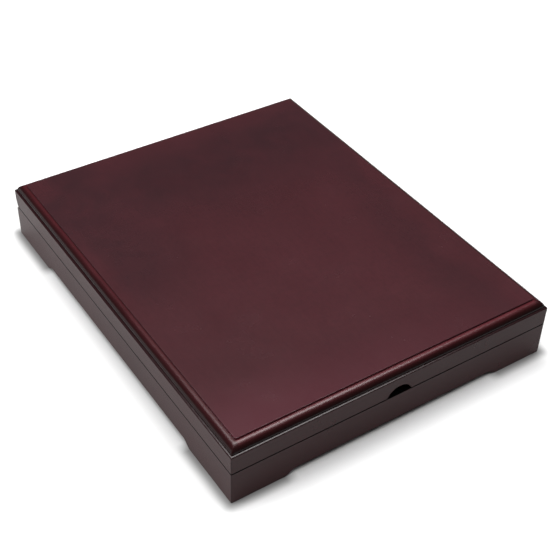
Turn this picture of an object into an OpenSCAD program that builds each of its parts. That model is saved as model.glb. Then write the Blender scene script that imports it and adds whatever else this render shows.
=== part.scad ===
// Wooden coin display case: a hinged lid with a moulded top, a base on
// bracket feet, and a lift-out tray with round wells.
// Millimetres. Origin: middle of the footprint, on the surface it stands on.
// +X is the width along the front, the front faces -Y, +Z is up.

/* [Case] */
// Width over the outer faces, along the front
case_w = 300; // [285:1:330]
// Depth over the outer faces, front to back
case_d = 374; // [360:1:410]
// Thickness of the side walls of the lid and of the base
wall_t = 12; // [11:0.5:14]
// Height of the middle of the seam between lid and base
seam_z = 31.7; // [31:0.1:40]
// Height of the top of the lid's side walls
lid_rail_z = 49; // [48.5:0.1:60]
// Width of the seam between lid and base
seam_gap = 0.4; // [0.3:0.1:0.8]

/* [Moulded top] */
// Height of the raised flat of the top above the lid's side walls
top_h = 7.4; // [6.5:0.1:10]
// Height of the small vertical step under the raised flat
step_h = 1.8; // [1:0.1:2.4]
// Distance of the raised flat from the outer faces
flat_inset = 8.8; // [6:0.1:14]
// Width of the narrow ledge outside the bead
ledge_w = 1.8; // [0.6:0.1:2.5]
// Height of the short vertical foot of the bead
bead_foot = 0.4; // [0.4:0.1:2.5]

/* [Bracket feet] */
// Height of the raised edge between the feet
foot_h = 5; // [4.5:0.1:6.5]
// Straight length of each foot along the front and the back
foot_front = 46; // [35:1:60]
// Straight length of each foot along the two sides
foot_side = 60; // [40:1:80]
// Length of the curved rise beside each foot
foot_rise = 10; // [8:1:16]

/* [Finger notch] */
// Width of the half-moon notch at the seam
notch_w = 23; // [18:1:28]
// Height of the notch above the seam
notch_h = 8.3; // [7:0.1:9]
// Depth of the notch into the front wall of the lid
notch_t = 9; // [6:0.5:9.5]

/* [Tray] */
// Diameter of each round well
well_d = 52; // [44:0.5:54]
// Distance between wells from left to right
pitch_x = 66; // [58:0.5:66]
// Distance between wells from front to back
pitch_y = 67; // [60:0.5:67.5]
// Depth of the wells
well_h = 9.5; // [8:0.5:9.5]
// Width of the two ribbon pull tabs
ribbon_w = 12; // [8:1:14]

/* [Hinges] */
// Length of each butt hinge
hinge_l = 45; // [35:1:60]
// Distance of each hinge from the middle of the back
hinge_x = 88; // [60:1:100]
// Depth of the groove along the back, which holds the hinge knuckles
groove_d = 3; // [2.5:0.5:4]
// Height of the chamfer on the lid above the seam
lid_chamfer = 11.8; // [9:0.1:13]

/* [Hidden] */
$fn = 64;
eps = 0.01;
hw = case_w / 2;
hd = case_d / 2;
iw = hw - wall_t;               // inner half width
id = hd - wall_t;               // inner half depth
base_top = seam_z - seam_gap / 2;
lid_bot = seam_z + seam_gap / 2;
panel_top = lid_rail_z + top_h;
bead_top = panel_top - step_h;
floor_z = 8;                    // underside of the bottom panel
floor_t = 4;
groove_in = 5;                  // depth of the groove that holds the bottom panel
lining_t = 1;
lining_z = floor_z + floor_t;
ledger_z = lining_z + lining_t;
ledger_h = 5;
tray_z = ledger_z + ledger_h;
board_t = 3;
insert_z = tray_z + board_t;
tray_top = insert_z + well_h;
tray_hw = iw - lining_t - 0.05 - 1.2;
tray_hd = id - lining_t - 0.05 - 2.0;
cols = 4;
rows = 5;
pin_y = hd - groove_d;          // hinge axis, at the bottom of the groove
pin_z = seam_z;
pin_r = 1;
bore_r = 1.05;
knuckle_r = 2;
mortise_r = 2.35;
leaf_t = 1;
leaf_in = pin_y - id - 0.6;     // from the axis to the leaf's inner edge
knuckles = 5;
screw_x = [-14.5, 0, 14.5];
screw_y = pin_y - 5.2;
pad_card_z = lid_rail_z - 1.55;
pad_z = pad_card_z - 6;

wood = [0.27, 0.11, 0.10];
wood_dark = [0.22, 0.09, 0.08];
ply = [0.55, 0.40, 0.26];
velvet = [0.05, 0.05, 0.07];
satin = [0.86, 0.83, 0.76];
brass = [0.75, 0.60, 0.28];

// ---------------------------------------------------------------- helpers

// block between two corners
module blk(a, b) { translate(a) cube(b - a); }

// plan of one mitred wall on the front, as wide as w and as thick as wall_t
module mitre_plan(w, d) {
    polygon([[-w, -d], [w, -d], [w - wall_t, -d + wall_t], [-w + wall_t, -d + wall_t]]);
}

// outline of a quarter ellipse from [a, 0] to [0, b]
function quarter(a, b, n) = [for (i = [0:n]) [a * cos(90 * i / n), b * sin(90 * i / n)]];

// half outline of the moulded top: distance from the middle against height
function top_side(half) = concat(
    [[half - ledge_w, lid_rail_z]],
    [for (p = quarter(flat_inset - ledge_w, bead_top - lid_rail_z - bead_foot, 20))
        [half - flat_inset + p[0], lid_rail_z + bead_foot + p[1]]],
    [[half - flat_inset, panel_top]]);

function mirrored(pts) = [for (i = [len(pts) - 1:-1:0]) [-pts[i][0], pts[i][1]]];

module top_outline(half) { polygon(concat(top_side(half), mirrored(top_side(half)))); }

// S-shaped rise from the foot up to the raised edge
function rise(x0, n) = [for (i = [0:n]) [x0 + foot_rise * i / n, foot_h * (1 - cos(180 * i / n)) / 2]];

// elevation of a base wall with its two bracket feet
module foot_outline(half, foot) {
    left = rise(-half + foot, 12);
    right = [for (i = [len(left) - 1:-1:0]) [-left[i][0], left[i][1]]];
    polygon(concat([[-half, 0]], left, right, [[half, 0], [half, base_top], [-half, base_top]]));
}

// a base wall in the place of the front one, for a case that is 2 half wide and 2 deep deep
module base_wall(half, deep, foot) {
    difference() {
        intersection() {
            translate([0, -deep + wall_t, 0]) rotate([90, 0, 0]) linear_extrude(wall_t) foot_outline(half, foot);
            linear_extrude(base_top) mitre_plan(half, deep);
        }
        blk([-half, -deep + wall_t - groove_in, floor_z], [half, -deep + wall_t + 1, floor_z + floor_t]);
    }
}

// a lid wall in the place of the front one
module lid_wall(half, deep) {
    translate([0, 0, lid_bot]) linear_extrude(lid_rail_z - lid_bot) mitre_plan(half, deep);
}

// V-groove along the whole back: the wedge cut from the lid's and the base's back edges
module back_groove() {
    translate([-hw - 1, 0, 0]) rotate([90, 0, 90]) linear_extrude(case_w + 2)
        polygon([[pin_y, lid_bot], [pin_y, base_top], [hd, base_top - groove_d],
            [hd + 1, base_top - groove_d - 1], [hd + 1, lid_bot + lid_chamfer + lid_chamfer / groove_d],
            [hd, lid_bot + lid_chamfer]]);
}

// a rod along X on the hinge axis
module axis_rod(x, len, r) { translate([x - len / 2, pin_y, pin_z]) rotate([0, 90, 0]) cylinder(h = len, r = r); }

// recesses for both hinges: round for the knuckles, flat for the leaves, pilot holes for the screws
module hinge_room(up) {
    for (s = [-1, 1]) {
        axis_rod(s * hinge_x, hinge_l + 2.6, mortise_r);
        z0 = up ? lid_bot - 1 : base_top - leaf_t;
        blk([s * hinge_x - hinge_l / 2 - 0.1, pin_y - leaf_in - 0.1, z0],
            [s * hinge_x + hinge_l / 2 + 0.1, pin_y, z0 + leaf_t + 1]);
        for (x = screw_x)
            translate([s * hinge_x + x, screw_y, up ? lid_bot + leaf_t - eps : base_top - leaf_t - 8.1])
                cylinder(h = 8.1 + eps, r = 1.05);
    }
}

// ---------------------------------------------------------------- lid

// Moulded top: raised flat, small step, quarter-round bead
module lid_top_panel() {
    color(wood) intersection() {
        translate([0, hd - ledge_w, 0]) rotate([90, 0, 0]) linear_extrude(case_d - 2 * ledge_w) top_outline(hw);
        translate([-hw + ledge_w, 0, 0]) rotate([90, 0, 90]) linear_extrude(case_w - 2 * ledge_w) top_outline(hd);
    }
}

// Front wall of the lid, with the half-moon finger notch in its lower edge
module lid_front_rail() {
    r = (notch_w * notch_w / 4 + notch_h * notch_h) / (2 * notch_h);
    color(wood) difference() {
        lid_wall(hw, hd);
        translate([0, -hd + notch_t, seam_z + notch_h - r]) rotate([90, 0, 0]) cylinder(h = notch_t + 1, r = r);
    }
}

// Back wall of the lid, chamfered and let out for the hinges
module lid_back_rail() {
    color(wood) difference() {
        rotate([0, 0, 180]) lid_wall(hw, hd);
        back_groove();
        hinge_room(true);
    }
}

module lid_left_rail() {
    color(wood) difference() {
        rotate([0, 0, -90]) lid_wall(hd, hw);
        back_groove();
    }
}

module lid_right_rail() {
    color(wood) difference() {
        rotate([0, 0, 90]) lid_wall(hd, hw);
        back_groove();
    }
}

// Card that the satin of the lid is stretched over
module lid_pad_card() { color(satin) blk([-iw + 0.3, -id + 0.3, pad_card_z], [iw - 0.3, id - 0.3, lid_rail_z - 0.05]); }

// Padded satin lining of the lid
module lid_satin_pad() { color(satin) blk([-iw + 0.5, -id + 0.5, pad_z], [iw - 0.5, id - 0.5, pad_card_z]); }

// ---------------------------------------------------------------- base

module base_front_rail() { color(wood) base_wall(hw, hd, foot_front); }

module base_back_rail() {
    color(wood) difference() {
        rotate([0, 0, 180]) base_wall(hw, hd, foot_front);
        back_groove();
        hinge_room(false);
    }
}

module base_left_rail() {
    color(wood) difference() {
        rotate([0, 0, -90]) base_wall(hd, hw, foot_side);
        back_groove();
    }
}

module base_right_rail() {
    color(wood) difference() {
        rotate([0, 0, 90]) base_wall(hd, hw, foot_side);
        back_groove();
    }
}

// Bottom panel, held in the groove of all four walls
module base_bottom_panel() {
    g = groove_in - 0.4;
    color(ply) blk([-iw - g, -id - g, floor_z + 0.05], [iw + g, id + g, floor_z + floor_t - 0.05]);
}

// Triangular glue blocks behind the feet
module corner_glue_blocks() {
    color(ply) for (sx = [-1, 1], sy = [-1, 1])
        translate([0, 0, 1.5]) linear_extrude(floor_z - 1.5)
            polygon([[sx * iw, sy * id], [sx * (iw - 28), sy * id], [sx * iw, sy * (id - 28)]]);
}

// Felt discs under the glue blocks, level with the wooden feet
module felt_foot_pads() {
    color(velvet) for (sx = [-1, 1], sy = [-1, 1])
        translate([sx * (iw - 8.5), sy * (id - 8.5), 0]) cylinder(h = 1.5, r = 6.5);
}

// Velvet-covered card on the floor of the base
module base_floor_lining() { color(velvet) blk([-iw + 0.1, -id + 0.1, lining_z], [iw - 0.1, id - 0.1, ledger_z]); }

module wall_strip(w, y, s) {
    color(velvet) blk([-w, min(y, y - s * lining_t), ledger_z], [w, max(y, y - s * lining_t), base_top - 0.5]);
}

module front_wall_lining() { wall_strip(iw - 0.1, -id + 0.05, -1); }
module back_wall_lining() { wall_strip(iw - 0.1, id - 0.05, 1); }
module left_wall_lining() { rotate([0, 0, 90]) wall_strip(id - lining_t - 0.1, iw - 0.05, 1); }
module right_wall_lining() { rotate([0, 0, 90]) wall_strip(id - lining_t - 0.1, -iw + 0.05, -1); }

// Strips that the tray rests on
module ledger(s) {
    x0 = iw - lining_t - 0.1;
    color(wood_dark) blk([min(s * x0, s * (x0 - 8)), -tray_hd, ledger_z], [max(s * x0, s * (x0 - 8)), tray_hd, tray_z]);
}
module left_tray_ledger() { ledger(-1); }
module right_tray_ledger() { ledger(1); }

// ---------------------------------------------------------------- tray

module tray_board() { color(velvet) blk([-tray_hw, -tray_hd, tray_z], [tray_hw, tray_hd, insert_z]); }

// Velvet insert with round wells that go down to the board
module tray_well_insert() {
    color(velvet) difference() {
        blk([-tray_hw, -tray_hd, insert_z], [tray_hw, tray_hd, tray_top]);
        for (i = [0:cols - 1], j = [0:rows - 1])
            translate([(i - (cols - 1) / 2) * pitch_x, (j - (rows - 1) / 2) * pitch_y, insert_z - 1])
                cylinder(h = well_h + 2, r = well_d / 2);
    }
}

// Ribbon that comes out above the board, runs up the tray's edge and lies on its top
module ribbon(s) {
    e = tray_hd + 0.1;
    t = 0.8;
    color(satin) rotate([0, 0, s > 0 ? 0 : 180]) translate([-ribbon_w / 2, 0, 0])
        rotate([90, 0, 90]) linear_extrude(ribbon_w)
            polygon([[e, insert_z], [e + t, insert_z], [e + t, tray_top + 0.1 + t], [e - 32, tray_top + 0.1 + t],
                [e - 32, tray_top + 0.1], [e, tray_top + 0.1]]);
}
module front_ribbon_tab() { ribbon(-1); }
module back_ribbon_tab() { ribbon(1); }

// ---------------------------------------------------------------- hinges

k_len = hinge_l / knuckles;

// the knuckles of one leaf: first = 0 for the outer three, 1 for the two between them
module knuckle_rods(x, first, r, grow) {
    for (k = [first:2:knuckles - 1])
        axis_rod(x - hinge_l / 2 + (k + 0.5) * k_len, k_len - 0.3 + grow, r);
}

// one leaf with its knuckles, countersunk for three screws
module hinge_leaf(x, up) {
    z0 = up ? lid_bot : base_top - leaf_t;
    color(brass) difference() {
        union() {
            difference() {
                blk([x - hinge_l / 2, pin_y - leaf_in, z0], [x + hinge_l / 2, pin_y, z0 + leaf_t]);
                knuckle_rods(x, up ? 0 : 1, mortise_r, 0.6);
            }
            knuckle_rods(x, up ? 1 : 0, knuckle_r, 0);
        }
        axis_rod(x, hinge_l + 2, bore_r);
        for (sx = screw_x) translate([x + sx, screw_y, z0]) {
            cylinder(h = leaf_t, r1 = up ? 2.15 : 1.1, r2 = up ? 1.1 : 2.15);
            translate([0, 0, -1]) cylinder(h = leaf_t + 2, r = 1.1);
        }
    }
}

module hinge_pin(x) {
    color(brass) union() {
        axis_rod(x, hinge_l + 0.2, pin_r);
        for (e = [-1, 1]) axis_rod(x + e * (hinge_l / 2 + 0.4), 0.8, 1.7);
    }
}

module left_hinge_base_leaf() { hinge_leaf(-hinge_x, false); }
module left_hinge_lid_leaf() { hinge_leaf(-hinge_x, true); }
module left_hinge_pin() { hinge_pin(-hinge_x); }
module right_hinge_base_leaf() { hinge_leaf(hinge_x, false); }
module right_hinge_lid_leaf() { hinge_leaf(hinge_x, true); }
module right_hinge_pin() { hinge_pin(hinge_x); }

// countersunk wood screw, head upwards, with a cross recess
module wood_screw() {
    color(brass) difference() {
        union() {
            translate([0, 0, -1]) cylinder(h = 1, r1 = 1, r2 = 2.05);
            translate([0, 0, -8]) cylinder(h = 7.1, r = 1);
            translate([0, 0, -9]) cylinder(h = 1, r1 = 0.2, r2 = 1);
        }
        translate([-1.3, -0.2, -0.45]) cube([2.6, 0.4, 1]);
        translate([-0.2, -1.3, -0.45]) cube([0.4, 2.6, 1]);
    }
}

module base_leaf_screws() {
    for (s = [-1, 1], x = screw_x) translate([s * hinge_x + x, screw_y, base_top]) wood_screw();
}
module lid_leaf_screws() {
    for (s = [-1, 1], x = screw_x) translate([s * hinge_x + x, screw_y, lid_bot]) rotate([180, 0, 0]) wood_screw();
}

// ---------------------------------------------------------------- nodes

lid_top_panel();
lid_front_rail();
lid_back_rail();
lid_left_rail();
lid_right_rail();
lid_pad_card();
lid_satin_pad();
base_front_rail();
base_back_rail();
base_left_rail();
base_right_rail();
base_bottom_panel();
corner_glue_blocks();
felt_foot_pads();
base_floor_lining();
front_wall_lining();
back_wall_lining();
left_wall_lining();
right_wall_lining();
left_tray_ledger();
right_tray_ledger();
tray_board();
tray_well_insert();
front_ribbon_tab();
back_ribbon_tab();
left_hinge_base_leaf();
left_hinge_lid_leaf();
left_hinge_pin();
right_hinge_base_leaf();
right_hinge_lid_leaf();
right_hinge_pin();
base_leaf_screws();
lid_leaf_screws();
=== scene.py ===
import math

import bpy
import bmesh
from mathutils import Matrix, Quaternion, Vector, noise


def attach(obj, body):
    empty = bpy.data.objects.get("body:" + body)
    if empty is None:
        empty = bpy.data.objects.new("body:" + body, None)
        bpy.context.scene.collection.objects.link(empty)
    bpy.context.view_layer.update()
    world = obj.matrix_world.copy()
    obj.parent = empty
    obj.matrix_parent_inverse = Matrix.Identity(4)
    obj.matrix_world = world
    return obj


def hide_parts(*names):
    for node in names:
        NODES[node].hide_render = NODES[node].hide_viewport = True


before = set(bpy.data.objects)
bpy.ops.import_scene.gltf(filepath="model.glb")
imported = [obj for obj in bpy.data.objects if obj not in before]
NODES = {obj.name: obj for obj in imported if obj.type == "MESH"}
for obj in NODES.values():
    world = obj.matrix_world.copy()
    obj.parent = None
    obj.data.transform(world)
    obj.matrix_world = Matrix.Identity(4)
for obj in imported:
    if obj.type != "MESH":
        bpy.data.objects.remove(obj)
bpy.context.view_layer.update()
MM = 0.001

# ------------------------------------------------------------------ sizes, in millimetres, as in the frame
HW, HD, WALL = 150.0, 187.0, 12.0
IW, ID = HW - WALL, HD - WALL
SEAM, GAP = 31.7, 0.4
BASE_TOP, LID_BOT, RAIL_TOP = SEAM - GAP / 2, SEAM + GAP / 2, 49.0
TOP, STEP, INSET, LEDGE, FOOT = 56.4, 1.8, 8.8, 1.8, 0.4
FOOT_H, FOOT_FRONT, FOOT_SIDE, RISE = 5.0, 46.0, 60.0, 10.0
FLOOR_Z, FLOOR_T, GROOVE = 8.0, 4.0, 5.0
PIN_Y, PIN_Z = HD - 3.0, SEAM
HINGE_X, HINGE_L = 88.0, 45.0
SCREW_X, SCREW_Y = (-14.5, 0.0, 14.5), PIN_Y - 5.2


# ------------------------------------------------------------------ mesh helpers
def finish_mesh(name, bm, angle=32.0, smooth=True):
    """bm is in millimetres; returns an object in metres."""
    bmesh.ops.remove_doubles(bm, verts=bm.verts, dist=1e-4)
    bmesh.ops.dissolve_degenerate(bm, edges=bm.edges, dist=1e-5)
    bmesh.ops.recalc_face_normals(bm, faces=bm.faces)
    for v in bm.verts:
        v.co *= MM
    me = bpy.data.meshes.new(name)
    bm.to_mesh(me)
    bm.free()
    if smooth:
        me.polygons.foreach_set("use_smooth", [True] * len(me.polygons))
        me.set_sharp_from_angle(angle=math.radians(angle))
    ob = bpy.data.objects.new(name, me)
    bpy.context.scene.collection.objects.link(ob)
    return ob


def resharpen(ob, angle=32.0):
    me = ob.data
    me.polygons.foreach_set("use_smooth", [True] * len(me.polygons))
    me.set_sharp_from_angle(angle=math.radians(angle))


def even_normals(ob):
    """Keeps the large flat faces evenly shaded beside their eased edges."""
    m = ob.modifiers.new("normals", "WEIGHTED_NORMAL")
    m.mode, m.weight, m.keep_sharp = "FACE_AREA", 100, True


def apply_modifiers(ob):
    dg = bpy.context.evaluated_depsgraph_get()
    me = bpy.data.meshes.new_from_object(ob.evaluated_get(dg), preserve_all_data_layers=True, depsgraph=dg)
    ob.modifiers.clear()
    old = ob.data
    ob.data = me
    me.name = ob.name
    bpy.data.meshes.remove(old)


def cut(ob, cutters):
    """Takes the cutters out of ob, then removes them."""
    for c in cutters:
        m = ob.modifiers.new("cut", "BOOLEAN")
        m.operation, m.solver, m.object = "DIFFERENCE", "EXACT", c
    bpy.context.view_layer.update()
    apply_modifiers(ob)
    for c in cutters:
        me = c.data
        bpy.data.objects.remove(c)
        bpy.data.meshes.remove(me)
    bm = bmesh.new()
    bm.from_mesh(ob.data)
    bmesh.ops.remove_doubles(bm, verts=bm.verts, dist=2e-6)
    bmesh.ops.dissolve_degenerate(bm, edges=bm.edges, dist=1e-6)
    bm.to_mesh(ob.data)
    bm.free()
    resharpen(ob)


def loft(bm, rings, close_ring=True, caps=True):
    """Faces between rings of equally many points, with an end face on the first and the last."""
    vs = [[bm.verts.new(p) for p in ring] for ring in rings]
    n = len(rings[0])
    for a, b in zip(vs, vs[1:]):
        for i in range(n if close_ring else n - 1):
            j = (i + 1) % n
            quad = [a[i], a[j], b[j], b[i]]
            if len({tuple(round(c, 5) for c in v.co) for v in quad}) >= 3:
                bm.faces.new(quad)
    if caps:
        bm.faces.new(vs[0])
        bm.faces.new(list(reversed(vs[-1])))
    return vs


def arc(cx, cy, r, a0, a1, n):
    return [(cx + r * math.cos(math.radians(a0 + (a1 - a0) * i / n)),
             cy + r * math.sin(math.radians(a0 + (a1 - a0) * i / n))) for i in range(n + 1)]


# ------------------------------------------------------------------ mitred walls
# A wall's profile is a closed loop of (v, z, low): v is the distance in from the outer face, z the height, and low
# says that the point follows the foot outline. u runs along the wall from its middle.
CORNER_R = 0.9


def foot_z(u, half, foot):
    a = abs(u)
    inner = half - foot
    if a >= inner:
        return 0.0
    if a <= inner - RISE:
        return FOOT_H
    t = (inner - a) / RISE
    return FOOT_H * (1 - math.cos(math.pi * t)) / 2


def run_points(half, v, stations):
    """(u, v) along the wall at inset v, rounded at the outer corners, up to the mitres."""
    if v < CORNER_R:
        side = []
        for i in range(5):
            f = math.radians(45.0 * i / 4)
            side.append((half - CORNER_R + (CORNER_R - v) * math.sin(f),
                         CORNER_R - (CORNER_R - v) * math.cos(f)))
    else:
        side = [(half - v, v)] * 5
    end = half - max(v, CORNER_R)
    pts = [(-u, w) for u, w in reversed(side)]
    pts += [(max(-end, min(end, u)), v) for u in stations]
    pts += side
    return pts


def wall_object(name, side, profile, foot=None):
    long_half = HW if side in ("front", "back") else HD
    other = HD if side in ("front", "back") else HW
    stations = [long_half * i / 12.0 * 0.92 for i in range(-12, 13)]
    if foot:
        inner = long_half - foot
        for i in range(0, 17):
            stations += [inner - RISE * i / 16, -(inner - RISE * i / 16)]
        stations += [inner + 0.8, -(inner + 0.8), inner - RISE - 0.8, -(inner - RISE - 0.8)]
    stations = sorted(set(round(s, 4) for s in stations))
    turn = {"front": 0, "right": 90, "back": 180, "left": -90}[side]
    m = Matrix.Rotation(math.radians(turn), 3, "Z")
    bm = bmesh.new()
    per_point = []
    for v, z, low in profile:
        pts = run_points(long_half, v, stations)
        ring = []
        for u, w in pts:
            zz = z + (foot_z(u, long_half, foot) if (low and foot) else 0.0)
            ring.append(m @ Vector((u, -other + w, zz)))
        per_point.append(ring)
    rings = list(zip(*per_point))
    loft(bm, rings)
    return finish_mesh(name, bm)


def lid_profile():
    r = 0.55
    p = []
    p += [(x, z, False) for x, z in arc(r, LID_BOT + r, r, 270, 180, 4)]
    # the ledge outside the bead falls a little towards its eased outer edge
    for x, d in ((0.0, 0.86), (0.02, 0.72), (0.08, 0.585), (0.17, 0.475), (0.30, 0.39), (0.50, 0.305), (0.90, 0.19), (1.80, 0.01), (2.30, 0.0)):
        p.append((x, RAIL_TOP - d, False))
    p += [(WALL - 0.3, RAIL_TOP, False), (WALL, RAIL_TOP - 0.3, False)]
    p += [(WALL, LID_BOT + 0.5, False), (WALL - 0.5, LID_BOT, False)]
    return p


def base_profile():
    r, e = 0.5, 0.55
    p = []
    p += [(x, z, True) for x, z in arc(r, r, r, 270, 180, 4)]
    p += [(x, z, False) for x, z in arc(e, BASE_TOP - e, e, 180, 90, 4)]
    p += [(WALL - 0.5, BASE_TOP, False), (WALL, BASE_TOP - 0.5, False)]
    p += [(WALL, FLOOR_Z + FLOOR_T, False), (WALL - GROOVE, FLOOR_Z + FLOOR_T, False)]
    p += [(WALL - GROOVE, FLOOR_Z, False), (WALL, FLOOR_Z, False)]
    p += [(WALL, 0.5, True), (WALL - 0.5, 0.0, True)]
    return p


def prism_x(name, pts, half):
    """A solid along X from -half to half with the outline pts of (y, z)."""
    bm = bmesh.new()
    loft(bm, [[(x, y, z) for y, z in pts] for x in (-half, half)])
    return finish_mesh(name, bm, smooth=False)


def box_mm(name, a, b):
    bm = bmesh.new()
    (x0, y0, z0), (x1, y1, z1) = a, b
    loft(bm, [[(x0, y0, z), (x1, y0, z), (x1, y1, z), (x0, y1, z)] for z in (z0, z1)])
    return finish_mesh(name, bm, smooth=False)


def lathe(name, origin, axis, pts, n=64):
    """A closed solid of revolution; pts are (distance along axis, radius), both ends on the axis or capped."""
    axis = Vector(axis).normalized()
    a = axis.orthogonal().normalized()
    b = axis.cross(a)
    bm = bmesh.new()
    rings = []
    for t, r in pts:
        rings.append([Vector(origin) + axis * t + (a * math.cos(2 * math.pi * i / n) + b * math.sin(2 * math.pi * i / n)) * r
                      for i in range(n)])
    loft(bm, rings)
    return finish_mesh(name, bm, smooth=False)


def groove_cutter(upper):
    """The part of the back groove that is cut from the lid, or from the base, with eased corners."""
    if upper:
        pts = [(PIN_Y - 1.2, LID_BOT - 0.05), (PIN_Y - 1.2, LID_BOT), (PIN_Y - 0.35, LID_BOT + 0.1),
               (PIN_Y + 0.12, LID_BOT + 0.85), (HD - 0.15, LID_BOT + 11.1), (HD - 0.03, LID_BOT + 11.8),
               (HD, LID_BOT + 12.6), (HD + 2, LID_BOT + 12.6), (HD + 2, LID_BOT - 0.05)]
    else:
        pts = [(PIN_Y - 1.4, BASE_TOP + 0.05), (PIN_Y - 1.4, BASE_TOP), (PIN_Y - 0.5, BASE_TOP - 0.12),
               (PIN_Y + 0.3, BASE_TOP - 0.5), (HD - 0.5, BASE_TOP - 2.7), (HD - 0.12, BASE_TOP - 3.5),
               (HD, BASE_TOP - 4.4), (HD + 2, BASE_TOP - 4.4), (HD + 2, BASE_TOP + 0.05)]
    return prism_x("cutter", pts, HW + 3)


def hinge_cutters(upper):
    out = []
    for s in (-1, 1):
        x = s * HINGE_X
        out.append(lathe("cutter", (x - HINGE_L / 2 - 1.3, PIN_Y, PIN_Z), (1, 0, 0), [(0, 2.35), (HINGE_L + 2.6, 2.35)], 48))
        z0, z1 = (LID_BOT - 1, LID_BOT + 1) if upper else (BASE_TOP - 1, BASE_TOP + 1)
        out.append(box_mm("cutter", (x - HINGE_L / 2 - 0.1, PIN_Y - 8.5, z0), (x + HINGE_L / 2 + 0.1, PIN_Y, z1)))
    return out


def notch_cutter():
    """Half-moon finger notch with a slightly eased rim."""
    w, h, d = 23.0, 8.3, 9.0
    r = (w * w / 4 + h * h) / (2 * h)
    y = -HD
    pts = [(-1.0, r + 0.45), (0.0, r + 0.45), (0.12, r + 0.2), (0.3, r + 0.06), (0.55, r), (d - 0.8, r), (d - 0.25, r - 0.25),
           (d, r - 0.9), (d, 0.01)]
    return lathe("cutter", (0, y, SEAM + h - r), (0, 1, 0), pts, 96)


# ------------------------------------------------------------------ materials
def mat(name):
    m = bpy.data.materials.new(name)
    m.use_nodes = True
    nt = m.node_tree
    nt.nodes.clear()
    out = nt.nodes.new("ShaderNodeOutputMaterial")
    bs = nt.nodes.new("ShaderNodeBsdfPrincipled")
    nt.links.new(bs.outputs[0], out.inputs[0])
    return m, nt, bs


class Kit:
    """Short names for building node trees."""

    def __init__(self, nt):
        self.nt = nt

    def node(self, kind, **kw):
        n = self.nt.nodes.new(kind)
        for k, v in kw.items():
            setattr(n, k, v)
        return n

    def link(self, a, b):
        self.nt.links.new(a, b)

    def coords(self):
        return self.node("ShaderNodeTexCoord").outputs["Object"]

    def mapping(self, vec, scale=(1, 1, 1), rot=(0, 0, 0), loc=(0, 0, 0)):
        n = self.node("ShaderNodeMapping")
        n.inputs["Scale"].default_value = scale
        n.inputs["Rotation"].default_value = rot
        n.inputs["Location"].default_value = loc
        self.link(vec, n.inputs["Vector"])
        return n.outputs[0]

    def noise(self, vec, scale, detail=3.0, rough=0.5, distort=0.0):
        n = self.node("ShaderNodeTexNoise")
        n.inputs["Scale"].default_value = scale
        n.inputs["Detail"].default_value = detail
        n.inputs["Roughness"].default_value = rough
        n.inputs["Distortion"].default_value = distort
        self.link(vec, n.inputs["Vector"])
        return n.outputs["Fac"]

    def ramp(self, fac, stops):
        n = self.node("ShaderNodeValToRGB")
        cr = n.color_ramp
        while len(cr.elements) < len(stops):
            cr.elements.new(0.5)
        for e, (p, c) in zip(cr.elements, stops):
            e.position = p
            e.color = (*c, 1.0) if len(c) == 3 else c
        self.link(fac, n.inputs[0])
        return n.outputs["Color"]

    def math(self, op, a, b=None, c=None, clamp=False):
        n = self.node("ShaderNodeMath", operation=op, use_clamp=clamp)
        for i, v in enumerate((a, b, c)):
            if v is None:
                continue
            if isinstance(v, (int, float)):
                n.inputs[i].default_value = v
            else:
                self.link(v, n.inputs[i])
        return n.outputs[0]

    def maprange(self, v, a, b, c=0.0, d=1.0, smooth=False):
        n = self.node("ShaderNodeMapRange")
        n.interpolation_type = "SMOOTHSTEP" if smooth else "LINEAR"
        n.clamp = True
        self.link(v, n.inputs["Value"])
        for k, x in (("From Min", a), ("From Max", b), ("To Min", c), ("To Max", d)):
            n.inputs[k].default_value = x
        return n.outputs["Result"]

    def mix(self, fac, a, b, blend="MIX"):
        n = self.node("ShaderNodeMix", data_type="RGBA", blend_type=blend)
        for sock, v in ((n.inputs[0], fac), (n.inputs[6], a), (n.inputs[7], b)):
            if isinstance(v, (int, float)):
                sock.default_value = v
            elif isinstance(v, tuple):
                sock.default_value = (*v, 1.0)
            else:
                self.link(v, sock)
        return n.outputs[2]

    def bump(self, height, strength, distance, normal=None):
        n = self.node("ShaderNodeBump")
        n.inputs["Strength"].default_value = strength
        n.inputs["Distance"].default_value = distance
        self.link(height, n.inputs["Height"])
        if normal is not None:
            self.link(normal, n.inputs["Normal"])
        return n.outputs[0]

    def xyz(self, vec):
        n = self.node("ShaderNodeSeparateXYZ")
        self.link(vec, n.inputs[0])
        return n.outputs


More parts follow.
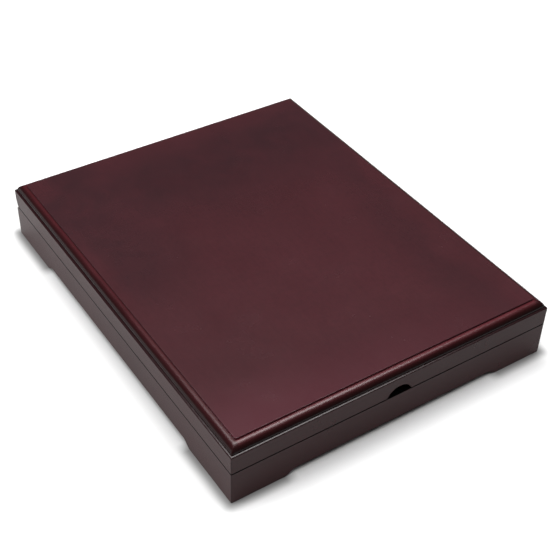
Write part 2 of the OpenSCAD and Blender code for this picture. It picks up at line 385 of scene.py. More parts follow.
def mahogany(name, along, base, seed=0.0, rough=0.34, spec=0.2, toner_and_painted_light=False):
    """Dark red-brown stained and lacquered wood, its faint grain running along x or y.
    For the top it adds the sprayed toner: a darker cloudy band inside the edges, redder in the middle, and painted
    light: a painted highlight towards the front edge and a painted highlight over the crown of the bead that falls to
    painted shade at its foot; otherwise it adds painted shade in the joint between lid and base."""
    m, nt, bs = mat(name)
    k = Kit(nt)
    co = k.coords()
    stretch = {"x": (1.0, 14.0, 14.0), "y": (14.0, 1.0, 14.0)}[along]
    g = k.mapping(co, scale=stretch, loc=(seed, seed * 1.7, seed * 0.6))
    grain = k.noise(g, 38.0, 6.0, 0.62, 0.35)
    pores = k.noise(g, 150.0, 3.0, 0.7, 0.1)
    cloud = k.noise(k.mapping(co, loc=(seed * 3.1, 0.2, seed)), 9.0, 3.0, 0.55, 0.3)
    blotch = k.noise(k.mapping(co, loc=(0.4, seed, 0.1)), 30.0, 4.0, 0.6)
    tone = k.math("ADD", k.math("MULTIPLY", grain, 0.30), k.math("MULTIPLY", cloud, 0.70))
    r, gg, b = base
    lo, hi = 0.84, 1.17
    col = k.ramp(tone, [(0.30, (r * lo, gg * lo, b * lo)), (0.50, base), (0.72, (r * hi, gg * hi, b * hi))])
    dark = k.maprange(pores, 0.60, 0.78, 0.0, 0.22)
    col = k.mix(dark, col, (r * 0.55, gg * 0.5, b * 0.5))
    p = k.xyz(co)
    if toner_and_painted_light:
        wob = k.math("MULTIPLY", k.math("SUBTRACT", k.noise(k.mapping(co, loc=(2.2, 0.7, 0)), 11.0, 2.0, 0.5), 0.5), 0.060)

        def band(coord, sign, at, near, far):
            d = k.math("ADD", k.math("MULTIPLY_ADD", coord, sign, at), wob)
            up = k.maprange(d, near[0], near[1], 0.0, 1.0, smooth=True)
            down = k.maprange(d, far[0], far[1], 1.0, 0.0, smooth=True)
            return k.math("MULTIPLY", up, down)

        left = k.math("MULTIPLY", band(p[0], 1.0, 0.142, (0.000, 0.020), (0.030, 0.095)),
                      k.maprange(k.math("ADD", p[1], k.math("MULTIPLY", wob, 0.8)), -0.060, 0.050, 0.0, 1.0, smooth=True))
        back = band(p[1], -1.0, 0.179, (-0.004, 0.036), (0.060, 0.150))
        right = k.math("MULTIPLY", band(p[0], -1.0, 0.142, (0.002, 0.020), (0.020, 0.060)), 0.55)
        ring = k.math("MAXIMUM", k.math("MAXIMUM", left, back), right)
        mottle = k.maprange(k.noise(k.mapping(co, loc=(5.0, 1.0, 0)), 42.0, 4.0, 0.62, 0.5), 0.32, 0.68, 0.55, 1.0)
        col = k.mix(k.math("MULTIPLY", k.math("MULTIPLY", ring, mottle), 0.62), col, (r * 0.42, gg * 0.72, b * 0.72))
        spray = k.noise(k.mapping(co, loc=(3.0, 4.0, 0)), 210.0, 3.0, 0.7, 0.2)
        col = k.mix(k.maprange(spray, 0.40, 0.66, 0.0, 0.20), col, (r * 0.55, gg * 0.75, b * 0.75))
        # painted highlight: lighter towards the front edge, most of all at its left end
        painted_front_highlight = k.maprange(k.math("ADD", p[1], k.math("MULTIPLY", wob, 0.6)), -0.120, -0.180, 0.0, 1.0, smooth=True)
        painted_front_highlight = k.math("MULTIPLY", painted_front_highlight, k.maprange(p[0], -0.120, 0.110, 0.62, 0.10))
        col = k.mix(painted_front_highlight, col, (r * 1.62, gg * 1.40, b * 1.60))
        # painted light on the moulded edge: a painted highlight, red over the crown of the bead, falling to painted
        # shade, near black, at its foot
        z = k.math("ADD", p[2], k.math("MULTIPLY", k.math("SUBTRACT", blotch, 0.5), 0.0008))
        bead = k.ramp(k.maprange(z, 0.0490, 0.0550, 0.0, 1.0),
                      [(0.25, (0.009, 0.0022, 0.0024)), (0.53, (0.013, 0.0022, 0.0024)), (0.69, (0.018, 0.0026, 0.0030)),
                       (0.83, (0.046, 0.0066, 0.0090)), (0.91, (0.090, 0.0135, 0.0185))])
        # the painted highlight on the bead is weaker on the long sides than along the front
        side = k.maprange(k.math("SUBTRACT", k.math("ABSOLUTE", p[0]), 0.1408), 0.0, 0.0003, 0.0, 0.55)
        bead = k.mix(side, bead, (0.014, 0.0030, 0.0036))
        edge = k.maprange(p[2], 0.0546, 0.0549, 1.0, 0.0)
        col = k.mix(edge, col, bead)
    else:
        # painted shade in the joint between lid and base; darker along the eased top edge of the lid rails, the
        # bottom edge of the base walls and the vertical corners
        seam_shade = k.maprange(k.math("ABSOLUTE", k.math("SUBTRACT", p[2], SEAM * MM)), 0.0005, 0.0009, 1.0, 0.0, smooth=True)
        outer = k.math("MAXIMUM", k.maprange(k.math("ABSOLUTE", p[0]), (HW - 1.1) * MM, (HW - 0.6) * MM, 0.0, 1.0),
                       k.maprange(k.math("ABSOLUTE", p[1]), (HD - 1.1) * MM, (HD - 0.6) * MM, 0.0, 1.0))
        seam_shade = k.math("MULTIPLY", seam_shade, outer)
        rim = k.maprange(p[2], 0.0480, 0.0484, 0.0, 1.0, smooth=True)
        rim = k.math("MAXIMUM", rim, k.maprange(p[2], 0.0004, 0.0009, 1.0, 0.0))
        col = k.mix(rim, col, (0.018, 0.0055, 0.0065))
        col = k.mix(seam_shade, col, (0.004, 0.0012, 0.0014))
        corner = k.math("MULTIPLY", k.maprange(k.math("ABSOLUTE", p[0]), 0.1490, 0.1497, 0.0, 1.0),
                        k.maprange(k.math("ABSOLUTE", p[1]), 0.1860, 0.1867, 0.0, 1.0))
        col = k.mix(k.math("MULTIPLY", corner, 0.6), col, (0.010, 0.0025, 0.003))
    # painted shade: the raw inside of the finger notch is near black, where it lies in the dark
    inx = k.maprange(k.math("ABSOLUTE", p[0]), 0.0118, 0.0126, 1.0, 0.0)
    iny = k.maprange(p[1], -0.18665, -0.18625, 0.0, 1.0)
    iny2 = k.maprange(p[1], -0.1775, -0.1765, 1.0, 0.0)
    inz = k.maprange(p[2], 0.0312, 0.0314, 0.0, 1.0)
    inz2 = k.maprange(p[2], 0.0405, 0.0412, 1.0, 0.0)
    inside = k.math("MULTIPLY", k.math("MULTIPLY", inx, iny), k.math("MULTIPLY", k.math("MULTIPLY", iny2, inz), inz2))
    col = k.mix(inside, col, (0.0012, 0.001, 0.001))
    k.link(col, bs.inputs["Base Color"])
    rr = k.math("ADD", k.math("MULTIPLY", k.math("SUBTRACT", blotch, 0.5), 0.09), rough)
    rr = k.math("ADD", rr, k.math("MULTIPLY", inside, 0.5), clamp=True)
    if not toner_and_painted_light:
        rr = k.math("SUBTRACT", rr, k.math("MULTIPLY", rim, 0.07), clamp=True)
    k.link(rr, bs.inputs["Roughness"])
    bs.inputs["Specular IOR Level"].default_value = spec
    wave = k.noise(k.mapping(co, loc=(seed, 0, 0)), 60.0, 2.0, 0.5)
    n1 = k.bump(wave, 0.10, 0.0006)
    n2 = k.bump(k.math("ADD", grain, k.math("MULTIPLY", pores, 0.4)), 0.08, 0.00012, n1)
    k.link(n2, bs.inputs["Normal"])
    return m


def velvet(name, base=(0.010, 0.010, 0.013)):
    m, nt, bs = mat(name)
    k = Kit(nt)
    co = k.coords()
    fine = k.noise(co, 2600.0, 2.0, 0.6)
    nap = k.noise(k.mapping(co, scale=(1, 1.6, 1)), 34.0, 3.0, 0.6, 0.6)
    r, g, b = base
    col = k.ramp(k.math("ADD", k.math("MULTIPLY", nap, 0.75), k.math("MULTIPLY", fine, 0.25)),
                 [(0.30, (r * 0.6, g * 0.6, b * 0.6)), (0.70, (r * 1.7, g * 1.7, b * 1.7))])
    k.link(col, bs.inputs["Base Color"])
    k.link(k.maprange(fine, 0.3, 0.7, 0.85, 1.0), bs.inputs["Roughness"])
    bs.inputs["Specular IOR Level"].default_value = 0.15
    bs.inputs["Sheen Weight"].default_value = 0.55
    bs.inputs["Sheen Roughness"].default_value = 0.35
    bs.inputs["Sheen Tint"].default_value = (0.55, 0.57, 0.68, 1.0)
    k.link(k.bump(k.math("ADD", fine, k.math("MULTIPLY", nap, 0.8)), 0.35, 0.0004), bs.inputs["Normal"])
    return m


def satin_cloth(name, base, thread=0.00028, sheen=0.35, rough=0.34):
    m, nt, bs = mat(name)
    k = Kit(nt)
    co = k.coords()
    p = k.xyz(co)
    w = math.pi / thread
    warp = k.math("SINE", k.math("MULTIPLY", p[0], w))
    weft = k.math("SINE", k.math("MULTIPLY", p[1], w * 0.5))
    weave = k.math("ADD", k.math("MULTIPLY", k.math("ABSOLUTE", warp), 0.7), k.math("MULTIPLY", k.math("ABSOLUTE", weft), 0.3))
    soft = k.noise(k.mapping(co, scale=(1, 0.25, 1)), 90.0, 3.0, 0.6)
    slub = k.noise(k.mapping(co, scale=(40, 1, 1)), 30.0, 2.0, 0.5)
    r, g, b = base
    col = k.ramp(k.math("ADD", k.math("MULTIPLY", soft, 0.6), k.math("MULTIPLY", slub, 0.4)),
                 [(0.3, (r * 0.88, g * 0.87, b * 0.84)), (0.7, (r * 1.06, g * 1.06, b * 1.06))])
    k.link(col, bs.inputs["Base Color"])
    k.link(k.maprange(soft, 0.3, 0.7, rough - 0.05, rough + 0.08), bs.inputs["Roughness"])
    bs.inputs["Specular IOR Level"].default_value = 0.5
    bs.inputs["Anisotropic"].default_value = 0.45
    bs.inputs["Sheen Weight"].default_value = sheen
    bs.inputs["Sheen Roughness"].default_value = 0.4
    k.link(k.bump(k.math("ADD", weave, k.math("MULTIPLY", soft, 0.5)), 0.18, 0.00012), bs.inputs["Normal"])
    return m


def felt(name, base):
    m, nt, bs = mat(name)
    k = Kit(nt)
    co = k.coords()
    f = k.noise(co, 900.0, 5.0, 0.7, 1.2)
    g2 = k.noise(co, 120.0, 3.0, 0.6)
    r, g, b = base
    k.link(k.ramp(k.math("ADD", k.math("MULTIPLY", f, 0.6), k.math("MULTIPLY", g2, 0.4)),
                  [(0.3, (r * 0.5, g * 0.5, b * 0.5)), (0.7, (r * 1.6, g * 1.6, b * 1.6))]), bs.inputs["Base Color"])
    bs.inputs["Roughness"].default_value = 0.95
    k.link(k.maprange(g2, 0.3, 0.7, 0.88, 1.0), bs.inputs["Roughness"])
    bs.inputs["Sheen Weight"].default_value = 0.3
    k.link(k.bump(f, 0.5, 0.0005), bs.inputs["Normal"])
    return m


def plywood(name, base=(0.30, 0.18, 0.095), along="y"):
    m, nt, bs = mat(name)
    k = Kit(nt)
    co = k.coords()
    st = {"x": (1, 11, 11), "y": (11, 1, 11)}[along]
    g = k.mapping(co, scale=st)
    rings = k.noise(g, 12.0, 5.0, 0.55, 1.4)
    fine = k.noise(g, 90.0, 4.0, 0.65, 0.2)
    spots = k.noise(co, 22.0, 3.0, 0.5)
    r, gg, b = base
    t = k.math("ADD", k.math("MULTIPLY", rings, 0.55), k.math("ADD", k.math("MULTIPLY", fine, 0.25), k.math("MULTIPLY", spots, 0.20)))
    k.link(k.ramp(t, [(0.36, (r * 0.62, gg * 0.58, b * 0.52)), (0.5, base), (0.66, (r * 1.22, gg * 1.22, b * 1.25))]),
           bs.inputs["Base Color"])
    k.link(k.maprange(fine, 0.3, 0.7, 0.55, 0.75), bs.inputs["Roughness"])
    k.link(k.bump(fine, 0.25, 0.0003), bs.inputs["Normal"])
    return m


def brass(name):
    m, nt, bs = mat(name)
    k = Kit(nt)
    co = k.coords()
    brush = k.noise(k.mapping(co, scale=(1, 40, 40)), 160.0, 3.0, 0.6)
    spots = k.noise(co, 420.0, 4.0, 0.65)
    tarnish = k.noise(co, 95.0, 3.0, 0.6)
    col = k.ramp(tarnish, [(0.30, (0.40, 0.24, 0.075)), (0.52, (0.62, 0.41, 0.14)), (0.75, (0.70, 0.49, 0.19))])
    k.link(col, bs.inputs["Base Color"])
    bs.inputs["Metallic"].default_value = 1.0
    k.link(k.math("ADD", k.maprange(spots, 0.3, 0.7, 0.16, 0.30), k.math("MULTIPLY", brush, 0.12)), bs.inputs["Roughness"])
    k.link(k.bump(brush, 0.12, 0.00008), bs.inputs["Normal"])
    return m


def card(name, base=(0.42, 0.39, 0.35)):
    m, nt, bs = mat(name)
    k = Kit(nt)
    co = k.coords()
    f = k.noise(co, 700.0, 4.0, 0.7)
    g2 = k.noise(co, 60.0, 3.0, 0.6)
    r, g, b = base
    k.link(k.ramp(k.math("ADD", k.math("MULTIPLY", f, 0.5), k.math("MULTIPLY", g2, 0.5)),
                  [(0.35, (r * 0.8, g * 0.8, b * 0.8)), (0.65, (r * 1.12, g * 1.12, b * 1.12))]), bs.inputs["Base Color"])
    k.link(k.maprange(g2, 0.3, 0.7, 0.7, 0.85), bs.inputs["Roughness"])
    k.link(k.bump(f, 0.2, 0.0001), bs.inputs["Normal"])
    return m


TOP_RED, RAIL_RED = (0.050, 0.0135, 0.0170), (0.036, 0.0045, 0.0060)
M_TOP = mahogany("mahogany_top", "y", TOP_RED, seed=0.0, rough=0.26, spec=0.5, toner_and_painted_light=True)
M_FB = mahogany("mahogany_front_back", "x", (0.045, 0.0045, 0.0066), seed=0.7, rough=0.26, spec=0.36)
M_LR = mahogany("mahogany_sides", "y", RAIL_RED, seed=1.9, rough=0.26, spec=0.42)
M_INNER = plywood("stained_strip", (0.10, 0.035, 0.025))
M_PLY = plywood("plywood")
M_VELVET = velvet("black_velvet")
M_FELT = felt("black_felt", (0.016, 0.016, 0.017))
M_SATIN = satin_cloth("ivory_satin", (0.66, 0.60, 0.50))
M_RIBBON = satin_cloth("dark_red_ribbon", (0.085, 0.006, 0.010), thread=0.0004, sheen=0.12, rough=0.42)
M_BRASS = brass("brass")
M_CARD = card("grey_card")


def paint(ob, m):
    ob.data.materials.clear()
    ob.data.materials.append(m)


# ------------------------------------------------------------------ lid
def place(ob, body, slot, material, *nodes):
    paint(ob, material)
    even_normals(ob)
    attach(ob, body)
    if nodes:
        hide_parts(*nodes)
    return ob


front = wall_object("lid_wall_front", "front", lid_profile())
cut(front, [notch_cutter()])
place(front, "lid", "wood", M_FB, "lid_front_rail")
back = wall_object("lid_wall_back", "back", lid_profile())
cut(back, [groove_cutter(True)] + hinge_cutters(True))
place(back, "lid", "wood", M_FB, "lid_back_rail")
for s in ("left", "right"):
    w = wall_object("lid_wall_" + s, s, lid_profile())
    cut(w, [groove_cutter(True)])
    place(w, "lid", "wood", M_LR, "lid_%s_rail" % s)


def top_profile():
    """(inset, z) from the underside's edge round the bead and the step to the flat, in millimetres."""
    a, b = INSET - LEDGE, TOP - STEP - RAIL_TOP - FOOT
    p = [(LEDGE + 0.25, RAIL_TOP), (LEDGE + 0.07, RAIL_TOP + 0.07), (LEDGE, RAIL_TOP + 0.25)]
    for i in range(0, 25):
        f = math.radians(90.0 * i / 24)
        p.append((INSET - a * math.cos(f), RAIL_TOP + FOOT + b * math.sin(f)))
    z = TOP - STEP
    p[-1] = (INSET - 0.10, z)
    p += [(INSET - 0.02, z + 0.03), (INSET, z + 0.12)]
    r = 0.4
    p += [(x, zz) for x, zz in arc(INSET + r, TOP - r, r, 180, 90, 5)]
    return p


def moulded_top():
    bm = bmesh.new()
    rings = []
    prof = top_profile()
    corner = 1.1
    n = 6
    for inset, z in prof:
        hx, hy = HW - inset, HD - inset
        r = corner + (inset - LEDGE) * 0.06
        ring = []
        for q, (sx, sy) in enumerate(((1, 1), (-1, 1), (-1, -1), (1, -1))):
            cx, cy = sx * (hx - r), sy * (hy - r)
            a0 = 90 * q
            for i in range(n + 1):
                f = math.radians(a0 + 90.0 * i / n)
                ring.append((cx + r * math.cos(f), cy + r * math.sin(f), z))
            # points along the side that follows
            nx, ny = ((-1, 1), (-1, -1), (1, -1), (1, 1))[q]
            x0, y0 = ring[-1][0], ring[-1][1]
            x1 = nx * (hx - r) if q in (0, 2) else nx * hx
            y1 = ny * hy if q in (0, 2) else ny * (hy - r)
            for i in range(1, 8):
                t = i / 8.0
                ring.append((x0 + (x1 - x0) * t, y0 + (y1 - y0) * t, z))
        rings.append(ring)
    loft(bm, rings)
    return finish_mesh("lid_moulded_top", bm, angle=28)


place(moulded_top(), "lid", "wood", M_TOP, "lid_top_panel")

# ------------------------------------------------------------------ base walls
for s, foot in (("front", FOOT_FRONT), ("back", FOOT_FRONT), ("left", FOOT_SIDE), ("right", FOOT_SIDE)):
    w = wall_object("base_wall_" + s, s, base_profile(), foot)
    if s == "back":
        cut(w, [groove_cutter(False)] + hinge_cutters(False))
    elif s != "front":
        cut(w, [groove_cutter(False)])
    place(w, "base", "wood", M_FB if s in ("front", "back") else M_LR, "base_%s_rail" % s)


# ------------------------------------------------------------------ inside: velvet, satin, ribbon
TRAY_HW, TRAY_HD, BOARD_Z, TRAY_TOP = 135.75, 171.95, 21.0, 30.5
WELL_R, PITCH_X, PITCH_Y = 26.0, 66.0, 67.0
PAD_BACK, PAD_LOW = 47.4, 41.45


def frame_points(x0, x1, y0, y1, n):
    """4n points round a rectangle, anticlockwise from its lower left corner."""
    p = [(x0 + (x1 - x0) * i / n, y0) for i in range(n)]
    p += [(x1, y0 + (y1 - y0) * i / n) for i in range(n)]
    p += [(x1 - (x1 - x0) * i / n, y1) for i in range(n)]
    p += [(x0, y1 - (y1 - y0) * i / n) for i in range(n)]
    return p


def well_insert():
    """Velvet-covered insert: round wells with soft rims, and a soft outer edge."""
    n, rim, edge = 24, 1.5, 1.2
    bm = bmesh.new()

    def lines(e):
        xs = [-TRAY_HW + e, -PITCH_X, 0.0, PITCH_X, TRAY_HW - e]
        ys = [-TRAY_HD + e] + [PITCH_Y * (j - 1.5) for j in range(4)] + [TRAY_HD - e]
        return xs, ys

    tops, lows = lines(edge), lines(0.0)
    for i in range(4):
        for j in range(5):
            cx, cy = PITCH_X * (i - 1.5), PITCH_Y * (j - 2)
            outer = frame_points(tops[0][i], tops[0][i + 1], tops[1][j], tops[1][j + 1], n)
            under = frame_points(lows[0][i], lows[0][i + 1], lows[1][j], lows[1][j + 1], n)
            turn = [math.atan2(y - cy, x - cx) for x, y in outer]

            def circle(r, z):
                return [(cx + r * math.cos(t), cy + r * math.sin(t), z) for t in turn]

            def between(r, share, z):
                return [(cx + r * math.cos(t) + (x - cx - r * math.cos(t)) * share,
                         cy + r * math.sin(t) + (y - cy - r * math.sin(t)) * share, z) for t, (x, y) in zip(turn, outer)]

            rings = [[(x, y, TRAY_TOP) for x, y in outer], between(WELL_R + rim + 0.5, 0.45, TRAY_TOP), circle(WELL_R + rim + 0.35, TRAY_TOP)]
            for k in range(0, 7):
                f = math.radians(90.0 * k / 6)
                rings.append(circle(WELL_R + rim - rim * math.sin(f), TRAY_TOP - rim + rim * math.cos(f)))
            rings += [circle(WELL_R, TRAY_TOP - 3.2), circle(WELL_R, BOARD_Z + 0.8), circle(WELL_R, BOARD_Z)]
            rings.append([(x, y, BOARD_Z) for x, y in under])
            loft(bm, rings, caps=False)
    # the outer edge, on the same points as the cells
    xs, ys = tops

    def walk(lx, ly, z):
        p = []
        for i in range(4):
            p += [(lx[i] + (lx[i + 1] - lx[i]) * q / n, ly[0], z) for q in range(n)]
        for j in range(5):
            p += [(lx[4], ly[j] + (ly[j + 1] - ly[j]) * q / n, z) for q in range(n)]
        for i in range(3, -1, -1):
            p += [(lx[i + 1] - (lx[i + 1] - lx[i]) * q / n, ly[5], z) for q in range(n)]
        for j in range(4, -1, -1):
            p += [(lx[0], ly[j + 1] - (ly[j + 1] - ly[j]) * q / n, z) for q in range(n)]
        return p

    rings = []
    for k in range(0, 6):
        f = math.radians(90.0 * k / 5)
        e = edge - edge * math.sin(f)
        rings.append(walk(*lines(e), TRAY_TOP - edge + edge * math.cos(f)))
    rings.append(walk(*lines(0.0), BOARD_Z + 3.0))
    rings.append(walk(*lines(0.0), BOARD_Z))
    loft(bm, rings, caps=False)
    return finish_mesh("tray_velvet_insert", bm, angle=60)


place(well_insert(), "tray", "velvet", M_VELVET, "tray_well_insert")


def ribbon(name, side):
    """A pull tab of woven ribbon: up the tray's edge, over it and flat on its top, with a slanting cut end."""
    w, t = 12.0, 0.42
    e = TRAY_HD + 0.16 + t / 2
    # centre line in (distance from the middle of the tray, height)
    line = [(e, BOARD_Z + 0.1), (e + 0.02, 24.0), (e + 0.10, 27.0), (e + 0.06, 29.3)]
    line += [(e - 0.85 + 0.9 * math.cos(f), 30.35 + 0.62 * math.sin(f)) for f in [math.radians(a) for a in (15, 35, 55, 75, 90)]]
    for i in range(1, 31):
        d = 30.6 * i / 30
        line.append((e - 0.85 - d, 30.88 + 0.12 * math.sin(d * 0.42 + 0.4 * side) * min(1.0, d / 5) + 0.05 * math.sin(d * 1.1)))
    across = [-1.0, -0.965, -0.90, -0.84, -0.6, -0.3, 0.0, 0.3, 0.6, 0.84, 0.90, 0.965, 1.0]
    thick = [0.30, 0.95, 1.0, 0.72, 0.70, 0.70, 0.70, 0.70, 0.70, 0.72, 1.0, 0.95, 0.30]
    bm = bmesh.new()
    rings = []
    total = sum(math.dist(p, q) for p, q in zip(line, line[1:]))
    for k, (d, z) in enumerate(line):
        p, q = line[max(k - 1, 0)], line[min(k + 1, len(line) - 1)]
        ty, tz = q[0] - p[0], q[1] - p[1]
        ln = math.hypot(ty, tz)
        ny, nz = -tz / ln, ty / ln
        if nz < 0 or (abs(nz) < 0.2 and ny < 0):
            ny, nz = -ny, -nz
        top, low = [], []
        for u, h in zip(across, thick):
            last = k >= len(line) - 2
            curl = 0.05 * u * u
            for out, sign in ((top, 1), (low, -1)):
                off = sign * h * t / 2 + curl
                dd, zz = d + ny * off, z + nz * off
                if last:
                    # the cut end slants
                    dd = line[-1][0] + ny * off + 3.2 * (u * side + 1) / 2 + (0.12 if k == len(line) - 2 else 0.0)
                out.append((u * w / 2, side * dd, zz))
        rings.append(top + low[::-1])
    loft(bm, rings)
    ob = finish_mesh(name, bm, angle=50)
    place(ob, "tray", "ribbon", M_RIBBON)
    return ob, total


for side, nm in ((-1, "front"), (1, "back")):
    strap, total = ribbon("tray_ribbon_" + nm, side)
    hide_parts(nm + "_ribbon_tab")


def pad_shape(step, face_z):
    """Closed slab: a gridded lower face that curves up to its edges, thin sides and a flat back."""
    hx, hy, edge_z = 137.2, 174.2, 46.3
    nx, ny = int(round(2 * hx / step)), int(round(2 * hy / step))
    bm = bmesh.new()
    g = []
    for j in range(ny + 1):
        row = []
        for i in range(nx + 1):
            # lines closer together near the edges
            u, v = -math.cos(math.pi * i / nx), -math.cos(math.pi * j / ny)
            x = hx * (0.25 * u + 0.75 * (2 * i / nx - 1))
            y = hy * (0.2 * v + 0.8 * (2 * j / ny - 1))
            d = min(hx - abs(x), hy - abs(y))
            t = min(d / 10.0, 1.0)
            z = edge_z + (face_z - edge_z) * math.sqrt(max(0.0, 1 - (1 - t) ** 2))
            row.append(bm.verts.new((x * MM, y * MM, z * MM)))
        g.append(row)
    for j in range(ny):
        for i in range(nx):
            bm.faces.new([g[j][i], g[j + 1][i], g[j + 1][i + 1], g[j][i + 1]])
    back = [[bm.verts.new((v.co.x * 0.998, v.co.y * 0.998, PAD_BACK * MM)) for v in row] for row in g]
    for j in range(ny):
        for i in range(nx):
            bm.faces.new([back[j][i], back[j][i + 1], back[j + 1][i + 1], back[j + 1][i]])
    for a, b in [((0, i), (0, i + 1)) for i in range(nx)] + [((ny, i + 1), (ny, i)) for i in range(nx)] \
            + [((j, nx), (j + 1, nx)) for j in range(ny)] + [((j + 1, 0), (j, 0)) for j in range(ny)]:
        bm.faces.new([g[a[0]][a[1]], g[b[0]][b[1]], back[b[0]][b[1]], back[a[0]][a[1]]])
    bmesh.ops.recalc_face_normals(bm, faces=bm.faces)
    me = bpy.data.meshes.new("lid_satin_cushion")
    bm.to_mesh(me)
    bm.free()
    ob = bpy.data.objects.new("lid_satin_cushion", me)
    bpy.context.scene.collection.objects.link(ob)
    return ob, (edge_z - 0.02) * MM


def swell(ob, pinned_above, pressure, frames, shrink):
    """Runs the cloth on a pinned shell and returns the simulated points."""
    co = [v.co.copy() for v in ob.data.vertices]
    vg = ob.vertex_groups.new(name="pin")
    vg.add([i for i, c in enumerate(co) if c.z >= pinned_above], 1.0, "REPLACE")
    m = ob.modifiers.new("cloth", "CLOTH")
    st = m.settings
    st.quality, st.mass = 5, 0.3
    st.tension_stiffness = st.compression_stiffness = 15.0
    st.shear_stiffness, st.bending_stiffness = 5.0, 0.4
    st.air_damping = 1.0
    st.use_pressure, st.uniform_pressure_force = True, pressure
    st.vertex_group_mass, st.pin_stiffness = "pin", 1.0
    st.effector_weights.gravity = 0.0
    st.shrink_min = shrink
    m.collision_settings.use_collision = False
    scene = bpy.context.scene
    scene.frame_start, scene.frame_end = 1, frames
    m.point_cache.frame_start, m.point_cache.frame_end = 1, frames
    for f in range(1, frames + 1):
        scene.frame_set(f)
    dg = bpy.context.evaluated_depsgraph_get()
    ev = ob.evaluated_get(dg)
    me = ev.to_mesh()
    out = [v.co.copy() for v in me.vertices]
    ev.to_mesh_clear()
    ob.modifiers.clear()
    ob.vertex_groups.clear()
    scene.frame_set(1)
    return co, out


def satin_cushion():
    """The padded satin lining of the lid: swollen cloth over foam, with small gathers along its tucked edges."""
    face = 43.3
    ob, pinned = pad_shape(5.0, face)
    rest, sim = swell(ob, pinned, 2.0, 16, -0.02)
    room = (face - PAD_LOW - 0.25) * MM
    hx, hy = 137.2 * MM, 174.2 * MM
    for v, a, b in zip(ob.data.vertices, rest, sim):
        if a.z >= pinned:
            v.co = a
            continue
        d = b - a
        down = -d.z
        down = room * math.tanh(down / room) if down > 0 else -0.0006 * math.tanh(-down / 0.0006)
        x = a.x + 0.0006 * math.tanh(d.x / 0.0006)
        y = a.y + 0.0006 * math.tanh(d.y / 0.0006)
        v.co = Vector((x, y, a.z - down))
    sub = ob.modifiers.new("fine", "SUBSURF")
    sub.levels = sub.render_levels = 1
    apply_modifiers(ob)
    # gathers: folds that run in from the tucked edge and die out
    for v in ob.data.vertices:
        x, y, z = v.co
        if z > 46.35 * MM:
            continue
        for near, along, seed in ((hx - abs(x), y, 3.0 if x > 0 else 9.0), (hy - abs(y), x, 15.0 if y > 0 else 21.0)):
            if near < 0.030:
                w = noise.noise(Vector((along * 62.0, seed, 0.0))) + 0.6 * noise.noise(Vector((along * 150.0, seed, near * 40.0)))
                reach = 0.010 + 0.012 * (0.5 + 0.5 * noise.noise(Vector((along * 35.0, seed + 5.0, 0.0))))
                fade = math.exp(-((near - 0.003) / reach) ** 2) * min(1.0, near / 0.0015)
                v.co.z += 0.00055 * w * fade
        v.co.z += 0.00016 * noise.noise(Vector((x * 24.0, y * 24.0, 1.5)))
        v.co.z = max(v.co.z, (PAD_LOW - 0.1) * MM)
    resharpen(ob, 50)
    paint(ob, M_SATIN)
    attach(ob, "lid")
    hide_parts("lid_satin_pad")
    return ob


satin_cushion()


def soften(names, width, segments=2, angle=35):
    """Eases CAD nodes' edges with modifiers; their own vertices stay."""
    for n in names:
        o = NODES[n]
        o.modifiers.new("weld", "WELD").merge_threshold = 1e-6
        m = o.modifiers.new("ease", "BEVEL")
        m.width, m.segments, m.limit_method, m.angle_limit = width, segments, "ANGLE", math.radians(angle)
        m.use_clamp_overlap = True
        even_normals(o)


LEAVES = ["left_hinge_base_leaf", "left_hinge_lid_leaf", "right_hinge_base_leaf", "right_hinge_lid_leaf"]
PINS = ["left_hinge_pin", "right_hinge_pin"]
SCREWS = ["base_leaf_screws", "lid_leaf_screws"]
LININGS = ["base_floor_lining", "front_wall_lining", "back_wall_lining", "left_wall_lining", "right_wall_lining"]

for n in ("base_bottom_panel", "corner_glue_blocks"):
    paint(NODES[n], M_PLY)
for n in ("left_tray_ledger", "right_tray_ledger"):
    paint(NODES[n], M_INNER)
for n in LININGS + ["tray_board"]:
    paint(NODES[n], M_VELVET)
paint(NODES["felt_foot_pads"], M_FELT)
paint(NODES["lid_pad_card"], M_CARD)
for n in LEAVES + PINS + SCREWS:
    paint(NODES[n], M_BRASS)
soften(LININGS, 0.00035, 3)
soften(["tray_board"], 0.0006, 3)
soften(["left_tray_ledger", "right_tray_ledger", "corner_glue_blocks"], 0.0005)
soften(["felt_foot_pads"], 0.0004, 3)
soften(["lid_pad_card", "base_bottom_panel"], 0.0003)
soften(PINS, 0.00018, 3)
soften(LEAVES, 0.00012, 2)

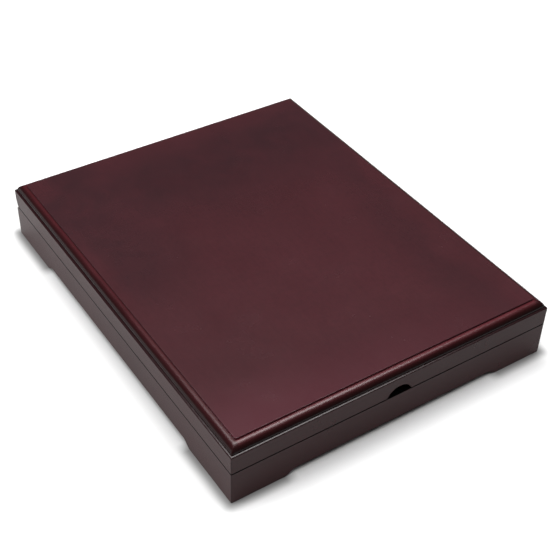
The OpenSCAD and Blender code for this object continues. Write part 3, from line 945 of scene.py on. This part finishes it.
# ------------------------------------------------------------------ floor, light, camera
def ground(name, hx, hy, tone, z=0.0, shaded=False):
    bm = bmesh.new()
    bmesh.ops.create_grid(bm, x_segments=8, y_segments=8, size=1.0)
    for v in bm.verts:
        v.co = (v.co.x * hx, v.co.y * hy, z)
    ob = finish_mesh(name, bm, smooth=False)
    m, nt, bs = mat(name)
    k = Kit(nt)
    n = k.noise(k.coords(), 6.0, 2.0)
    col = k.ramp(n, [(0.3, (tone - 0.005,) * 3), (0.7, (tone + 0.005,) * 3)])
    if shaded:
        # painted shadow: the paper is darker close round the case, a painted contact shadow, and in a soft band to
        # its right and behind it, a painted cast shadow
        p = k.xyz(k.coords())

        def outside(cx, cy, rx, ry):
            dx = k.math("MAXIMUM", k.math("SUBTRACT", k.math("ABSOLUTE", k.math("SUBTRACT", p[0], cx)), rx), 0.0)
            dy = k.math("MAXIMUM", k.math("SUBTRACT", k.math("ABSOLUTE", k.math("SUBTRACT", p[1], cy)), ry), 0.0)
            return k.math("SQRT", k.math("ADD", k.math("MULTIPLY", dx, dx), k.math("MULTIPLY", dy, dy)))

        contact_shadow = k.maprange(outside(0.0, 0.0, HW * MM, HD * MM), 0.0, 0.0105, 0.34, 1.0, smooth=True)
        # the painted shadow is weaker between the feet, where the gap under the walls is dark already
        open_x = k.maprange(k.math("ABSOLUTE", p[0]), (HW - FOOT_FRONT - RISE) * MM, (HW - FOOT_FRONT) * MM, 1.0, 0.0)
        open_y = k.maprange(k.math("ABSOLUTE", p[1]), (HD - FOOT_SIDE - RISE) * MM, (HD - FOOT_SIDE) * MM, 1.0, 0.0)
        gap = k.maprange(outside(0.0, 0.0, (HW - 6) * MM, (HD - 6) * MM), 0.0, 0.0095, 0.62, 1.0, smooth=True)
        between = k.math("MAXIMUM", open_x, open_y)
        contact_shadow = k.math("ADD", k.math("MULTIPLY", between, gap), k.math("MULTIPLY", k.math("SUBTRACT", 1.0, between), contact_shadow))
        band = k.maprange(outside(0.0225, 0.0475, 0.1575, 0.1845), 0.0, 0.030, 0.74, 1.0, smooth=True)
        shade = k.math("MULTIPLY", contact_shadow, band)
        tint = k.node("ShaderNodeCombineXYZ")
        for i in range(3):
            k.link(shade, tint.inputs[i])
        col = k.mix(1.0, col, tint.outputs[0], blend="MULTIPLY")
    k.link(col, bs.inputs["Base Color"])
    bs.inputs["Roughness"].default_value = 0.9
    bs.inputs["Specular IOR Level"].default_value = 0.1
    paint(ob, m)
    return ob


# a pale floor, and the pale card of the shooting table that throws light back at the case in an otherwise dark studio
floor = ground("floor", 4000.0, 4000.0, 0.985, shaded=True)
for flag in ("visible_diffuse", "visible_glossy", "visible_transmission", "visible_shadow"):
    setattr(floor, flag, False)
table = ground("shooting_table", HW + 130.0, HD + 130.0, 0.42, z=-0.05)
table.visible_camera = False


def area(name, loc, target, size, power, color=(1, 1, 1), size_y=None, roll=0.0):
    l = bpy.data.lights.new(name, "AREA")
    l.energy, l.color, l.size = power, color, size
    if size_y:
        l.shape, l.size_y = "RECTANGLE", size_y
    o = bpy.data.objects.new(name, l)
    o.location = loc
    o.rotation_mode = "QUATERNION"
    aim = (Vector(target) - Vector(loc)).to_track_quat("-Z", "Y")
    o.rotation_quaternion = aim @ Quaternion((0, 0, 1), math.radians(roll))
    bpy.context.scene.collection.objects.link(o)
    return o


# a strip softbox laid across the line of sight, behind the case and overhead, which shows in the lacquer, and a large
# diffuser that does not
area("overhead", (0.285, 0.38, 1.7), (0.285, 0.38, 0), 1.65, 16.5, size_y=0.34, roll=-38.0)
# low pale cards beyond the case, seen only in the gloss of the outward curves on the right and on the left
for name, loc, power in (("card_right", (1.9, 1.5, 0.12), 1.3), ("card_left", (-1.7, 1.3, 0.20), 3.6)):
    card_light = area(name, loc, (0, 0, 0.12), 2.6, power, size_y=0.7)
    card_light.visible_diffuse = card_light.visible_camera = False
for name, loc, size, power in (("diffuser", (0, 0, 2.2), 3.0, 62), ("left_fill", (-1.8, 0.3, 0.9), 1.2, 24)):
    area(name, loc, (0, 0, 0), size, power).visible_glossy = False

world = bpy.data.worlds.new("studio")
bpy.context.scene.world = world
world.use_nodes = True
bg = world.node_tree.nodes["Background"]
bg.inputs[0].default_value = (1, 1, 1, 1)
bg.inputs[1].default_value = 0.05

sc = bpy.context.scene
sc.view_settings.view_transform = "Standard"
sc.view_settings.look = "None"
sc.view_settings.exposure = 0.0
sc.view_settings.gamma = 1.0

cam_data = bpy.data.cameras.new("camera")
cam = bpy.data.objects.new("camera", cam_data)
sc.collection.objects.link(cam)
cam_data.sensor_width = 36.0
cam_data.sensor_fit = "HORIZONTAL"
cam_data.lens = 1139.17 / 560.0 * 36.0
cam_data.shift_x = -0.00394
cam_data.shift_y = -0.00222
cx = Vector((0.83478795, -0.5500261, 0.02450249))
cy = Vector((0.34007642, 0.55011906, 0.76270378))
cz = cx.cross(cy)
rot = Matrix((cx, cy, cz)).transposed()
cam.matrix_world = Matrix.Translation(Vector((-1.40084335, -2.11594776, 2.18900605)) * 0.3) @ rot.to_4x4()
cam_data.clip_start, cam_data.clip_end = 0.01, 50.0
sc.camera = cam
